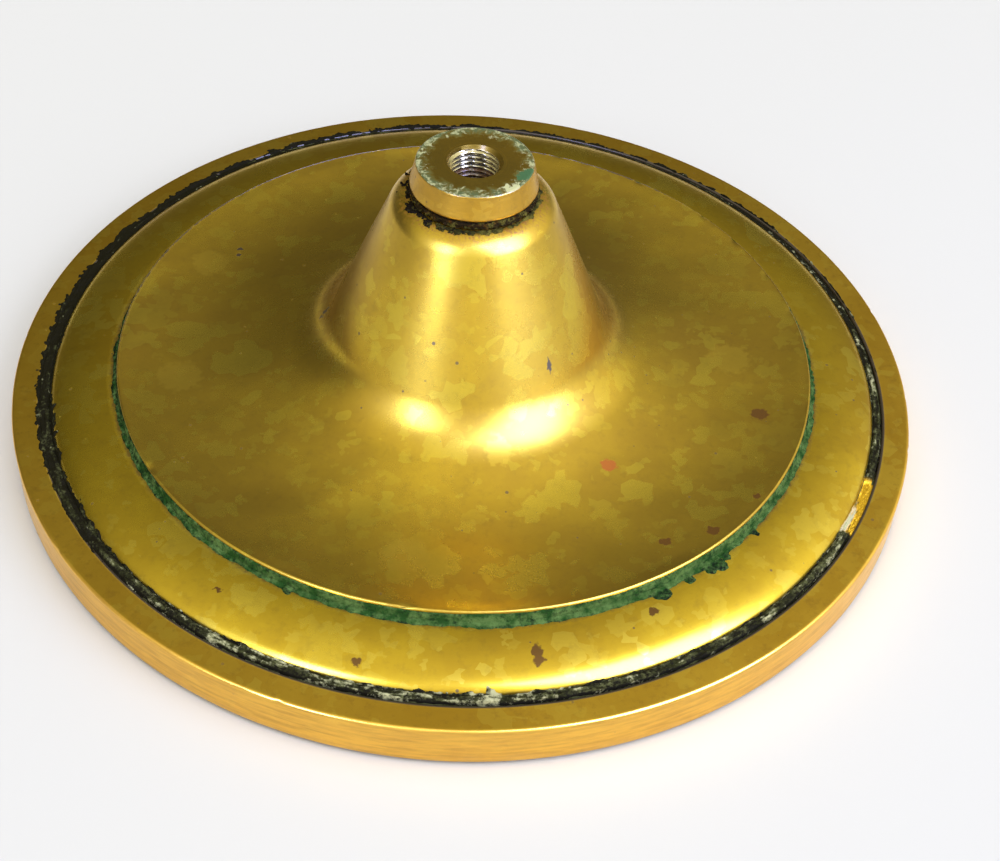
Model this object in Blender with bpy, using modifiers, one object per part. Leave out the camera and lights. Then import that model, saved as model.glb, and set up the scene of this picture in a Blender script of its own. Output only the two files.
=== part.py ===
"""Turned brass pedestal base, 180 mm across, made of a foot ring, a step moulding, a trumpet and a collar.

The axis is +Z and the felt rests on z = 0. A stem screws into the tapped collar on top. Inside, a cast
iron ballast ring clamps the trumpet's rim to the moulding, and a steel plate closes the underside.
"""

import math

import bpy

MM = 0.001
GAP = 0.3 * MM  # left between pieces that touch

# Foot ring: a rim with an inward flange that the plate and the moulding are screwed to.
RIM_RADIUS = 90 * MM
RIM_INNER_RADIUS = 84.5 * MM
RIM_BOTTOM = 0.5 * MM
RIM_TOP = 9.5 * MM
RIM_CHAMFER = 0.4 * MM
RIM_FOOT_CHAMFER = (0.6 * MM, 0.8 * MM)  # inwards and upwards
FLANGE_RADIUS = 77 * MM
FLANGE_THICKNESS = 2 * MM

# Underside, from the resting plane up: felt, plate, flange.
FELT_RADIUS = 82 * MM
FELT_THICKNESS = 1.5 * MM
PLATE_THICKNESS = 1.5 * MM
PLATE_HOLE_RADIUS = 10 * MM
PLATE_BOTTOM = FELT_THICKNESS + GAP
FLANGE_BOTTOM = PLATE_BOTTOM + PLATE_THICKNESS + GAP
FLANGE_TOP = FLANGE_BOTTOM + FLANGE_THICKNESS

# Step moulding: a quarter ellipse in section, with a rebate that the trumpet's rim sits in.
CROWN_RADIUS = 70.5 * MM
CROWN_TOP = 12.9 * MM
OVOLO_RADIUS = 82.5 * MM
OVOLO_FOOT = 9.4 * MM
SKIRT_TOP = 7.6 * MM
MOULDING_BOTTOM = FLANGE_TOP + GAP
MOULDING_INNER_RADIUS = 76.5 * MM
LEDGE_RADIUS = 64.6 * MM
LEDGE_BOTTOM = 10 * MM
LEDGE_TOP = 11.85 * MM

# Trumpet: a dished flange that flares up into a cone with a thick tapped neck.
LIP_RADIUS = 69.2 * MM
LIP_TOP = 15.35 * MM
LIP_ROUND = 0.4 * MM
LIP_SEAT_WIDTH = 4 * MM
DISH_BOTTOM = 14.2 * MM
FLARE_RADIUS = 13 * MM
TOE_RADIUS = 70 * MM
TOE_ANGLE = math.radians(15)  # slope where the flare's arc runs into the toe's gentler one
FLANK_ANGLE = math.radians(67.5)  # from the horizontal
FLANK_POINT = (22.6 * MM, 34 * MM)  # the flank passes through this radius and height
SHOULDER_RADIUS = 5 * MM
NECK_TOP = 53.3 * MM
NECK_BOTTOM = 40 * MM
WALL = 2.4 * MM

# Collar: a tapered head on a threaded spigot, bored right through for the stem's M10 x 1 thread.
SPIGOT_RADIUS = 8 * MM
SPIGOT_BOTTOM = 41 * MM
COLLAR_BOTTOM = 55.2 * MM
COLLAR_TOP = 60.2 * MM
COLLAR_BOTTOM_RADIUS = 12 * MM
COLLAR_TOP_RADIUS = 11 * MM
COLLAR_ROUND = 0.4 * MM
TAPPED_RADIUS = 4.46 * MM
TAPPED_CHAMFER = 0.7 * MM
WASHER_RADIUS = 12.2 * MM

# Ballast ring and the three screws that draw it up to bosses under the trumpet.
BALLAST_INNER_RADIUS = 30 * MM
BALLAST_RADIUS = 76.2 * MM
BALLAST_BOTTOM = 4 * MM
BALLAST_TOP = LEDGE_BOTTOM - GAP
BALLAST_SCREWS = 3
BALLAST_SCREW_CIRCLE = 55 * MM
BOSS_RADIUS = 4.5 * MM
BOSS_TOP = 13.2 * MM
COUNTERBORE_DEPTH = 2.5 * MM
COUNTERBORE_CLEARANCE = 0.5 * MM
BALLAST_HEAD_RADIUS = 3.5 * MM
BALLAST_HEAD_HEIGHT = 1.9 * MM
BALLAST_SHANK_RADIUS = 1.7 * MM
BALLAST_TIP = 12.6 * MM
BALLAST_HOLE_TOP = 12.9 * MM
BALLAST_SLOT_TURN = math.radians(50)  # between one screw's slot and the next one's

# Six countersunk screws hold the plate and the foot ring to the moulding.
BASE_SCREWS = 6
BASE_SCREW_CIRCLE = 80.5 * MM
BASE_HEAD_RADIUS = 2.7 * MM
BASE_SHANK_RADIUS = 1.3 * MM
BASE_TIP = 8.6 * MM
BASE_HOLE_TOP = 9 * MM
BASE_HEAD_RECESS = 0.1 * MM
BASE_HEAD_CLEARANCE = 0.4 * MM
BASE_SLOT_TURN = math.radians(35)
SCREW_CHAMFER = 0.4 * MM
SLOT_WIDTH = 0.8 * MM
SLOT_DEPTH = 0.7 * MM
SLOT_LENGTH = 10 * MM
TOOL_OVER = 0.2 * MM  # how far a drilling tool runs past the face it enters

RING_STEPS = 72
NECK_STEPS = 48
SCREW_STEPS = 16
OVOLO_STEPS = 9
SHOULDER_STEPS = 5
FLARE_STEPS = 7
TOE_STEPS = 3
DISH_STEPS = 4
INNER_FLARE_STEPS = 5
INNER_DISH_STEPS = 3
MERGE_DISTANCE = 0.001 * MM
SCREW_PHASE = math.pi / RING_STEPS  # sets each screw over the middle of a facet

BRASS = (0.52, 0.33, 0.035)
MATERIALS = {
    "lacquered_rim_brass": (BRASS, 1.0, 0.32),
    "dull_moulding_brass": ((0.46, 0.29, 0.03), 1.0, 0.34),
    "olive_trumpet_brass": ((0.42, 0.27, 0.02), 1.0, 0.33),
    "turned_collar_brass": ((0.5, 0.32, 0.04), 1.0, 0.36),
    "perished_fibre": ((0.03, 0.032, 0.024), 0.0, 0.95),
    "cast_iron": ((0.06, 0.058, 0.055), 0.7, 0.65),
    "plate_steel": ((0.3, 0.29, 0.27), 1.0, 0.45),
    "screw_steel": ((0.36, 0.35, 0.33), 1.0, 0.35),
    "green_felt": ((0.02, 0.075, 0.04), 0.0, 1.0),
}


def clear_scene():
    for obj in list(bpy.data.objects):
        bpy.data.objects.remove(obj, do_unlink=True)


def new_collection(name):
    collection = bpy.data.collections.new(name)
    bpy.context.scene.collection.children.link(collection)
    return collection


def new_material(name):
    colour, metallic, roughness = MATERIALS[name]
    material = bpy.data.materials.new(name)
    material.use_nodes = True
    shader = material.node_tree.nodes["Principled BSDF"]
    shader.inputs["Base Color"].default_value = (*colour, 1.0)
    shader.inputs["Metallic"].default_value = metallic
    shader.inputs["Roughness"].default_value = roughness
    material.diffuse_color = (*colour, 1.0)
    return material


def arc(centre, radii, start, end, steps):
    """(r, z) points of an elliptical arc, angles in radians from +r, both ends included."""
    r, z = centre
    angles = [start + (end - start) * i / steps for i in range(steps + 1)]
    return [(r + radii[0] * math.cos(a), z + radii[1] * math.sin(a)) for a in angles]


def turned(name, profile, steps, collection, ring=True):
    """The solid turned from (r, z) points listed clockwise, so down the outer side.

    A ring's outline closes on itself. Any other outline starts and ends on the axis.
    """
    count = len(profile)
    edges = [(i, i + 1) for i in range(count - 1)]
    if ring:
        edges.append((count - 1, 0))
    mesh = bpy.data.meshes.new(name)
    mesh.from_pydata([(r, 0.0, z) for r, z in profile], edges, [])
    obj = bpy.data.objects.new(name, mesh)
    collection.objects.link(obj)
    screw = obj.modifiers.new("Turn", "SCREW")
    screw.axis = "Z"
    screw.angle = math.tau
    screw.steps = steps
    screw.render_steps = steps
    screw.use_merge_vertices = True
    screw.merge_threshold = MERGE_DISTANCE
    return obj


def drilled(obj, cutter, operation="DIFFERENCE"):
    modifier = obj.modifiers.new(cutter.name, "BOOLEAN")
    modifier.operation = operation
    modifier.solver = "EXACT"
    modifier.object = cutter


def hidden(obj):
    obj.hide_render = True
    obj.display_type = "WIRE"
    return obj


def round_tool(name, sections, cutters):
    """A hidden turned tool from (radius, height) sections listed from its top down."""
    top, bottom = sections[0][1], sections[-1][1]
    profile = [(0.0, top), *sections, (0.0, bottom)]
    return hidden(turned(name, profile, SCREW_STEPS, cutters, ring=False))


def on_circle(obj, radius, index, count):
    angle = math.tau * (index + 0.5) / count + SCREW_PHASE
    obj.location = (radius * math.cos(angle), radius * math.sin(angle), 0.0)
    obj.rotation_euler = (0.0, 0.0, angle)


def foot_ring_profile():
    foot_inset, foot_rise = RIM_FOOT_CHAMFER
    return [
        (RIM_RADIUS - RIM_CHAMFER, RIM_TOP),
        (RIM_RADIUS, RIM_TOP - RIM_CHAMFER),
        (RIM_RADIUS, RIM_BOTTOM + foot_rise),
        (RIM_RADIUS - foot_inset, RIM_BOTTOM),
        (RIM_INNER_RADIUS, RIM_BOTTOM),
        (RIM_INNER_RADIUS, FLANGE_BOTTOM),
        (FLANGE_RADIUS, FLANGE_BOTTOM),
        (FLANGE_RADIUS, FLANGE_TOP),
        (RIM_INNER_RADIUS, FLANGE_TOP),
        (RIM_INNER_RADIUS, RIM_TOP - RIM_CHAMFER),
        (RIM_INNER_RADIUS + RIM_CHAMFER, RIM_TOP),
    ]


def moulding_profile():
    skirt_radius = RIM_INNER_RADIUS - GAP
    rebate_radius = LIP_RADIUS + GAP
    ovolo = arc(
        (CROWN_RADIUS, OVOLO_FOOT),
        (OVOLO_RADIUS - CROWN_RADIUS, CROWN_TOP - OVOLO_FOOT),
        math.pi / 2,
        0.0,
        OVOLO_STEPS,
    )
    return [
        (rebate_radius, CROWN_TOP),
        *ovolo,
        (OVOLO_RADIUS, SKIRT_TOP),
        (skirt_radius, SKIRT_TOP),
        (skirt_radius, MOULDING_BOTTOM),
        (MOULDING_INNER_RADIUS, MOULDING_BOTTOM),
        (MOULDING_INNER_RADIUS, LEDGE_BOTTOM),
        (LEDGE_RADIUS, LEDGE_BOTTOM),
        (LEDGE_RADIUS, LEDGE_TOP),
        (rebate_radius, LEDGE_TOP),
    ]


def flank_offset(distance):
    """A point on the flank's line, moved outwards by distance along its normal."""
    return (
        FLANK_POINT[0] + distance * math.sin(FLANK_ANGLE),
        FLANK_POINT[1] + distance * math.cos(FLANK_ANGLE),
    )


def along_flank(point, height):
    """The point at this height on the line through point that runs parallel to the flank."""
    return (point[0] + (point[1] - height) / math.tan(FLANK_ANGLE), height)


def trumpet_profile():
    """Shoulder, straight flank, flare, toe and shallow dish outside, the same less the wall inside."""
    normal = math.pi / 2 - FLANK_ANGLE
    shoulder_centre = along_flank(flank_offset(-SHOULDER_RADIUS), NECK_TOP - SHOULDER_RADIUS)
    toe_rise = TOE_RADIUS * (1 - math.cos(TOE_ANGLE))
    flare_height = DISH_BOTTOM + toe_rise + FLARE_RADIUS * math.cos(TOE_ANGLE)
    flare_centre = along_flank(flank_offset(FLARE_RADIUS), flare_height)
    toe_width = (TOE_RADIUS - FLARE_RADIUS) * math.sin(TOE_ANGLE)
    toe_centre = (flare_centre[0] + toe_width, DISH_BOTTOM + TOE_RADIUS)
    toe_start = -math.pi / 2 - TOE_ANGLE
    dish_width = LIP_RADIUS - toe_centre[0]
    dish_rise = LIP_TOP - DISH_BOTTOM
    dish_radius = (dish_width**2 + dish_rise**2) / (2 * dish_rise)
    dish_centre = (toe_centre[0], DISH_BOTTOM + dish_radius)

    def dish(offset, end_radius, start_radius, steps):
        radius = dish_radius + offset
        start = -math.acos((start_radius - dish_centre[0]) / radius)
        end = -math.acos((end_radius - dish_centre[0]) / radius)
        return arc(dish_centre, (radius, radius), start, end, steps)

    shoulder = arc(shoulder_centre, (SHOULDER_RADIUS,) * 2, math.pi / 2, normal, SHOULDER_STEPS)
    flare = arc(flare_centre, (FLARE_RADIUS,) * 2, normal - math.pi, toe_start, FLARE_STEPS)
    toe = arc(toe_centre, (TOE_RADIUS,) * 2, toe_start, -math.pi / 2, TOE_STEPS)
    inner_radius = FLARE_RADIUS + WALL
    inner_flare = arc(flare_centre, (inner_radius,) * 2, toe_start, normal - math.pi, INNER_FLARE_STEPS)
    inner_toe_radius = TOE_RADIUS + WALL
    inner_toe = arc(toe_centre, (inner_toe_radius,) * 2, -math.pi / 2, toe_start, TOE_STEPS)
    seat_radius = LIP_RADIUS - LIP_SEAT_WIDTH
    seat_bottom = LEDGE_TOP + GAP
    inner_top = along_flank(flank_offset(-WALL), NECK_BOTTOM)
    bore_radius = SPIGOT_RADIUS + GAP
    return [
        *shoulder,
        *flare,
        *toe[1:],
        *dish(0.0, LIP_RADIUS - LIP_ROUND, toe_centre[0], DISH_STEPS)[1:],
        (LIP_RADIUS, LIP_TOP - LIP_ROUND),
        (LIP_RADIUS, seat_bottom),
        (seat_radius, seat_bottom),
        *dish(WALL, toe_centre[0], seat_radius - WALL / 2, INNER_DISH_STEPS)[:-1],
        *inner_toe[:-1],
        *inner_flare,
        inner_top,
        (bore_radius, NECK_BOTTOM),
        (bore_radius, NECK_TOP),
    ]


def collar_profile():
    return [
        (COLLAR_TOP_RADIUS - COLLAR_ROUND, COLLAR_TOP),
        (COLLAR_TOP_RADIUS, COLLAR_TOP - COLLAR_ROUND),
        (COLLAR_BOTTOM_RADIUS, COLLAR_BOTTOM + COLLAR_ROUND),
        (COLLAR_BOTTOM_RADIUS - COLLAR_ROUND, COLLAR_BOTTOM),
        (SPIGOT_RADIUS, COLLAR_BOTTOM),
        (SPIGOT_RADIUS, SPIGOT_BOTTOM + COLLAR_ROUND),
        (SPIGOT_RADIUS - COLLAR_ROUND, SPIGOT_BOTTOM),
        (TAPPED_RADIUS, SPIGOT_BOTTOM),
        (TAPPED_RADIUS, COLLAR_TOP - TAPPED_CHAMFER),
        (TAPPED_RADIUS + TAPPED_CHAMFER, COLLAR_TOP),
    ]


def flat_ring(name, inner, outer, bottom, top, steps, collection):
    profile = [(outer, top), (outer, bottom), (inner, bottom), (inner, top)]
    return turned(name, profile, steps, collection)


def screw_slot(cutters, name, bottom):
    """A hidden bar that cuts a driver slot upwards from the height bottom."""
    bpy.ops.mesh.primitive_cube_add(size=1.0)
    bar = bpy.context.object
    bar.name = name
    bar.scale = (SLOT_LENGTH, SLOT_WIDTH, 2 * SLOT_DEPTH)
    bpy.ops.object.transform_apply(location=False, rotation=False, scale=True)
    for vertex in bar.data.vertices:
        vertex.co.z += bottom
    for collection in list(bar.users_collection):
        collection.objects.unlink(bar)
    cutters.objects.link(bar)
    return hidden(bar)


def base_screw(index, parts, cutters):
    """A countersunk slotted screw, head flush with the plate's underside."""
    head_bottom = PLATE_BOTTOM + BASE_HEAD_RECESS
    profile = [
        (0.0, BASE_TIP),
        (BASE_SHANK_RADIUS - SCREW_CHAMFER, BASE_TIP),
        (BASE_SHANK_RADIUS, BASE_TIP - SCREW_CHAMFER),
        (BASE_SHANK_RADIUS, PLATE_BOTTOM + PLATE_THICKNESS),
        (BASE_HEAD_RADIUS, head_bottom),
        (0.0, head_bottom),
    ]
    screw = turned(f"base_screw_{index + 1}", profile, SCREW_STEPS, parts, ring=False)
    slot = screw_slot(cutters, f"base_slot_{index + 1}", head_bottom)
    slot.rotation_euler.z = BASE_SLOT_TURN * index
    drilled(screw, slot)
    slot.parent = screw
    on_circle(screw, BASE_SCREW_CIRCLE, index, BASE_SCREWS)
    return screw


def ballast_screw(index, parts, cutters):
    """A slotted cheese-head screw in the ballast ring's counterbore."""
    head_top = BALLAST_BOTTOM + COUNTERBORE_DEPTH - GAP
    head_bottom = head_top - BALLAST_HEAD_HEIGHT
    profile = [
        (0.0, BALLAST_TIP),
        (BALLAST_SHANK_RADIUS - SCREW_CHAMFER, BALLAST_TIP),
        (BALLAST_SHANK_RADIUS, BALLAST_TIP - SCREW_CHAMFER),
        (BALLAST_SHANK_RADIUS, head_top),
        (BALLAST_HEAD_RADIUS, head_top),
        (BALLAST_HEAD_RADIUS, head_bottom),
        (0.0, head_bottom),
    ]
    screw = turned(f"ballast_screw_{index + 1}", profile, SCREW_STEPS, parts, ring=False)
    slot = screw_slot(cutters, f"ballast_slot_{index + 1}", head_bottom)
    slot.rotation_euler.z = BALLAST_SLOT_TURN * index
    drilled(screw, slot)
    slot.parent = screw
    on_circle(screw, BALLAST_SCREW_CIRCLE, index, BALLAST_SCREWS)
    return screw


def drill_base_holes(index, foot_ring, moulding, plate, cutters):
    """One countersunk hole through the plate, clear through the flange and blind in the moulding."""
    hole_radius = BASE_SHANK_RADIUS + GAP
    slope = (BASE_HEAD_RADIUS - BASE_SHANK_RADIUS) / PLATE_THICKNESS
    head_radius = BASE_HEAD_RADIUS + BASE_HEAD_CLEARANCE
    shank = round_tool(
        f"base_hole_{index + 1}",
        [(hole_radius, BASE_HOLE_TOP), (hole_radius, PLATE_BOTTOM - TOOL_OVER)],
        cutters,
    )
    sink = round_tool(
        f"countersink_{index + 1}",
        [
            (head_radius - slope * PLATE_THICKNESS, PLATE_BOTTOM + PLATE_THICKNESS),
            (head_radius + slope * TOOL_OVER, PLATE_BOTTOM - TOOL_OVER),
        ],
        cutters,
    )
    for tool in (shank, sink):
        on_circle(tool, BASE_SCREW_CIRCLE, index, BASE_SCREWS)
    drilled(foot_ring, shank)
    drilled(moulding, shank)
    drilled(plate, shank)
    drilled(plate, sink)


def add_boss(index, trumpet, cutters):
    """A screw boss under the dish."""
    boss = round_tool(
        f"boss_{index + 1}",
        [(BOSS_RADIUS, BOSS_TOP), (BOSS_RADIUS, BALLAST_TOP + GAP)],
        cutters,
    )
    on_circle(boss, BALLAST_SCREW_CIRCLE, index, BALLAST_SCREWS)
    drilled(trumpet, boss, "UNION")


def drill_ballast_holes(index, ballast, trumpet, cutters):
    """A blind hole in the boss, over a counterbored hole in the ballast ring."""
    hole_radius = BALLAST_SHANK_RADIUS + GAP
    bore_radius = BALLAST_HEAD_RADIUS + COUNTERBORE_CLEARANCE
    tool_bottom = BALLAST_BOTTOM - TOOL_OVER
    shank = round_tool(
        f"ballast_hole_{index + 1}",
        [(hole_radius, BALLAST_HOLE_TOP), (hole_radius, tool_bottom)],
        cutters,
    )
    head = round_tool(
        f"counterbore_{index + 1}",
        [
            (bore_radius, BALLAST_BOTTOM + COUNTERBORE_DEPTH),
            (bore_radius, tool_bottom),
        ],
        cutters,
    )
    for tool in (shank, head):
        on_circle(tool, BALLAST_SCREW_CIRCLE, index, BALLAST_SCREWS)
    drilled(trumpet, shank)
    drilled(ballast, shank)
    drilled(ballast, head)


def build():
    clear_scene()
    parts = new_collection("pedestal_base")
    cutters = new_collection("cutters")

    foot_ring = turned("foot_ring", foot_ring_profile(), RING_STEPS, parts)
    moulding = turned("step_moulding", moulding_profile(), RING_STEPS, parts)
    trumpet = turned("trumpet", trumpet_profile(), RING_STEPS, parts)
    collar = turned("collar_bush", collar_profile(), NECK_STEPS, parts)
    washer = flat_ring(
        "neck_washer",
        SPIGOT_RADIUS + GAP,
        WASHER_RADIUS,
        NECK_TOP + GAP,
        COLLAR_BOTTOM - GAP,
        NECK_STEPS,
        parts,
    )
    ballast = flat_ring(
        "ballast_ring",
        BALLAST_INNER_RADIUS,
        BALLAST_RADIUS,
        BALLAST_BOTTOM,
        BALLAST_TOP,
        RING_STEPS,
        parts,
    )
    plate = flat_ring(
        "base_plate",
        PLATE_HOLE_RADIUS,
        RIM_INNER_RADIUS - GAP,
        PLATE_BOTTOM,
        PLATE_BOTTOM + PLATE_THICKNESS,
        RING_STEPS,
        parts,
    )
    felt_profile = [
        (0.0, FELT_THICKNESS),
        (FELT_RADIUS, FELT_THICKNESS),
        (FELT_RADIUS, 0.0),
        (0.0, 0.0),
    ]
    felt = turned("felt_pad", felt_profile, RING_STEPS, parts, ring=False)

    for index in range(BALLAST_SCREWS):
        add_boss(index, trumpet, cutters)
    for index in range(BALLAST_SCREWS):
        drill_ballast_holes(index, ballast, trumpet, cutters)
    for index in range(BASE_SCREWS):
        drill_base_holes(index, foot_ring, moulding, plate, cutters)
    screws = [ballast_screw(index, parts, cutters) for index in range(BALLAST_SCREWS)]
    screws += [base_screw(index, parts, cutters) for index in range(BASE_SCREWS)]

    finishes = {
        "lacquered_rim_brass": [foot_ring],
        "dull_moulding_brass": [moulding],
        "olive_trumpet_brass": [trumpet],
        "turned_collar_brass": [collar],
        "perished_fibre": [washer],
        "cast_iron": [ballast],
        "plate_steel": [plate],
        "screw_steel": screws,
        "green_felt": [felt],
    }
    for name, objects in finishes.items():
        material = new_material(name)
        for obj in objects:
            obj.data.materials.append(material)


build()
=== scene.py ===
import math

import bpy
import numpy as np
from mathutils import Matrix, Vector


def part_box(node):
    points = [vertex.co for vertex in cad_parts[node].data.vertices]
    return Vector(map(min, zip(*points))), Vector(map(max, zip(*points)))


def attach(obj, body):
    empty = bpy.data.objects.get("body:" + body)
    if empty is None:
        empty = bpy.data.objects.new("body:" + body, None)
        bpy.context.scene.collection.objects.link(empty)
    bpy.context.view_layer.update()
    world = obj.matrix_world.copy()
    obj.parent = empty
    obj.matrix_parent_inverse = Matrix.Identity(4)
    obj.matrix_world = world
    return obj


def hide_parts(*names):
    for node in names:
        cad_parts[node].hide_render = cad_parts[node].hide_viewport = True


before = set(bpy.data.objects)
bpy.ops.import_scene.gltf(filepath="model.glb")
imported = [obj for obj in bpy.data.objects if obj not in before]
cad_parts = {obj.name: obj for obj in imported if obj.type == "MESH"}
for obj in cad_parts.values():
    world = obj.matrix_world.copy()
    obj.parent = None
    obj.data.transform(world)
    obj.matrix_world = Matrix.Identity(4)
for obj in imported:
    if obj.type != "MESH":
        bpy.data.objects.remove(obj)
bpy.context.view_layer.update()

# Turned brass pedestal base, about 180 mm across. Shapes are worked out in millimetres.
mm = 0.001


def boxMm(node):
    low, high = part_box(node)     # lowest and highest corner of a CAD node
    return np.array(low) / mm, np.array(high) / mm


latticePrimes = np.array([73856093, 19349663, 83492791])     # scatter the lattice's corners


def softNoise(points, size, seed=0):
    # value noise, -1 to 1: a random number on each corner of a lattice of this size,
    # blended across the cell by 3t^2 - 2t^3
    cell = np.asarray(points, float) / size
    base = np.floor(cell).astype(np.int64)
    part = cell - base
    part = part * part * (3 - 2 * part)
    total = np.zeros(cell.shape[:-1])
    for corner in range(8):
        step = np.array([corner & 1, corner >> 1 & 1, corner >> 2 & 1])
        at = base + step
        mixed = np.bitwise_xor.reduce(at * latticePrimes, axis=-1) ^ (seed + 1) * 2654435
        mixed = (mixed ^ (mixed >> 13)) * 1274126177 & 0xFFFFFFFF
        mixed = (mixed ^ (mixed >> 15)) * 668265263 & 0xFFFFFFFF
        share = np.prod(np.where(step == 1, part, 1 - part), axis=-1)
        total += share * ((mixed ^ (mixed >> 16)) & 0xFFFF) / 65535
    return total * 2 - 1


def roughNoise(points, size, seed=0, octaves=3):
    # octaves of soft noise, each half the size and 0.55 of the strength of the one before
    total = 0.0
    for octave in range(octaves):
        total = total + 0.55**octave * softNoise(points, size / 2**octave, seed + 17 * octave)
    return total


def aroundAxis(angles, pairs):
    # straight runs between (degrees, value) pairs, on round the axis
    degrees, values = np.array(sorted(pairs), float).T
    return np.interp(np.degrees(angles) % 360, degrees, values, period=360)


def smoothStep(low, high, value):
    share = np.clip((value - low) / (high - low), 0, 1)
    return share * share * (3 - 2 * share)


def blobShare(points, blobs, core=0.35, wobble=0.0):
    # 1 within any blob given as (degrees, radius, size in mm), seen from above, and 0 past its size;
    # wobble is added to the distance from its middle
    total = 0.0
    for degrees, radius, size in blobs:
        middle = math.radians(degrees)
        away = np.hypot(points[..., 0] - radius * math.cos(middle),
                        points[..., 1] - radius * math.sin(middle))
        total = np.maximum(total, smoothStep(size, size * core, away + wobble))
    return total


def arcLine(centre, radii, start, end, count):
    # outlines are listed clockwise, so down the outer side
    # (r, z) = centre + radii * (cos t, sin t), t in degrees from +r
    turn = np.radians(np.linspace(start, end, count))
    return np.stack([centre[0] + radii[0] * np.cos(turn), centre[1] + radii[1] * np.sin(turn)], axis=-1)


def straightLine(start, end, count=2):
    share = np.linspace(0, 1, count)[:, None]
    return np.array(start) * (1 - share) + np.array(end) * share


def outline(*parts):
    # the parts end to end, less any point that repeats the one before it
    points = np.concatenate([np.atleast_2d(np.asarray(part, float)) for part in parts])
    keep = np.r_[True, np.hypot(*np.diff(points, axis=0).T) > 1e-4]
    return points[keep]


def threadWave(heights, angles, pitch):
    # 0 on the flat crest and 1 in the root of a 60 degree thread that climbs one pitch a turn
    phase = (heights / pitch - angles / (2 * np.pi)) % 1
    return np.clip((np.abs(phase - 0.5) * 2 - 0.22) / 0.6, 0, 1)


def turnedGrid(profile, columns):
    # point (row j, column i) = (r_j cos a_i, r_j sin a_i, z_j)
    angles = np.linspace(0, 2 * np.pi, columns, endpoint=False)
    radius, height = profile[:, :1], profile[:, 1:2]
    grid = np.stack([radius * np.cos(angles), radius * np.sin(angles), height + 0 * angles], axis=-1)
    return grid, angles


def pushOut(grid, angles, distance):
    # each point moved away from the axis by this distance
    away = np.stack([np.cos(angles), np.sin(angles), 0 * angles], axis=-1)
    return grid + distance[..., None] * away


def meshFromGrid(name, grid, sharpAngle=32, ring=True):
    # one quad for each cell of a grid that closes on itself both ways, or, where it isn't a
    # ring, a fan from the axis at its first and last rows
    rows, columns = grid.shape[:2]
    index = np.arange(rows * columns).reshape(rows, columns)
    above = index if ring else index[:-1]
    below = np.roll(index, -1, axis=0) if ring else index[1:]
    corners = np.stack([above, below, np.roll(below, -1, 1), np.roll(above, -1, 1)], axis=-1).ravel()
    starts = np.arange(0, len(corners), 4)
    points = grid.reshape(-1, 3)
    if not ring:
        first, last = index[0], index[-1]
        middle = np.full(columns, len(points))
        fans = np.concatenate([np.stack([middle, first, np.roll(first, -1)], axis=-1),
                               np.stack([middle + 1, np.roll(last, -1), last], axis=-1)]).ravel()
        points = np.vstack([points, grid[0].mean(axis=0), grid[-1].mean(axis=0)])
        starts = np.concatenate([starts, len(corners) + np.arange(0, len(fans), 3)])
        corners = np.concatenate([corners, fans])
    mesh = bpy.data.meshes.new(name)
    mesh.vertices.add(len(points))
    mesh.vertices.foreach_set("co", (points * mm).astype(np.float32).ravel())
    mesh.loops.add(len(corners))
    mesh.loops.foreach_set("vertex_index", corners.astype(np.int32))
    mesh.polygons.add(len(starts))
    mesh.polygons.foreach_set("loop_start", starts.astype(np.int32))
    mesh.update(calc_edges=True)
    mesh.shade_smooth()
    mesh.set_sharp_from_angle(angle=math.radians(sharpAngle))
    piece = bpy.data.objects.new(name, mesh)
    bpy.context.scene.collection.objects.link(piece)
    return piece


def crustShell(name, path, lift, angles, sink=0.14):
    # a closed skin over a turned surface: the path's points moved along their normals by lift,
    # and back again by a constant depth below the surface
    along = np.gradient(path, axis=0)
    for _ in range(2):
        along[1:-1] = (along[:-2] + 2 * along[1:-1] + along[2:]) / 4
    normal = np.stack([-along[:, 1], along[:, 0]], axis=-1)
    normal /= np.hypot(normal[:, 0], normal[:, 1])[:, None]
    top = path[:, None] + lift[..., None] * normal[:, None]
    thin = np.minimum(lift - 0.05, -sink)[::4]
    under = (path[::4, None] + thin[..., None] * normal[::4, None])[::-1]
    section = np.concatenate([top, under])
    radius, height = section[..., 0], section[..., 1]
    grid = np.stack([radius * np.cos(angles), radius * np.sin(angles), height], axis=-1)
    return meshFromGrid(name, grid, sharpAngle=60)


def giveShare(piece, name, rows):
    # a number from 0 to 1 on each point of a crust for its material to read; the underside takes 0
    values = np.zeros(len(piece.data.vertices), np.float32)
    values[:rows.size] = rows.ravel()
    piece.data.attributes.new(name, "FLOAT", "POINT").data.foreach_set("value", values)


def finishPiece(piece, material, slot, body, *nodes):
    piece.data.materials.append(material)
    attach(piece, body)
    if nodes:
        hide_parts(*nodes)
    print("made", piece.name, len(piece.data.polygons), "faces")


def colour(hexValue):
    # sRGB hex to linear
    parts = [int(hexValue[i:i + 2], 16) / 255 for i in (1, 3, 5)]
    return (*[p / 12.92 if p <= 0.04045 else ((p + 0.055) / 1.055) ** 2.4 for p in parts], 1.0)


def addNode(tree, kind, sockets=None, out=None, **settings):
    # one node, its settings, and its sockets filled or linked; gives back its working output
    node = tree.nodes.new("ShaderNode" + kind)
    for name, value in settings.items():
        setattr(node, name, value)
    for key, value in (sockets or {}).items():
        if isinstance(value, bpy.types.NodeSocket):
            tree.links.new(value, node.inputs[key])
        else:
            node.inputs[key].default_value = value
    return node.outputs[out] if out else next(o for o in node.outputs if o.enabled)


def startFinish(name, tone, metallic, roughness):
    # a new material and what is known of its surface so far
    material = bpy.data.materials.new(name)
    material.use_nodes = True
    tree = material.node_tree
    place = addNode(tree, "TexCoord", out="Object")
    place = addNode(tree, "VectorMath", {0: place, "Scale": 1 / mm}, operation="SCALE")
    return {"material": material, "tree": tree, "place": place, "colour": tone,
            "metal": metallic, "metallic": metallic > 0.9, "rough": roughness, "height": 0.0}


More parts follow.
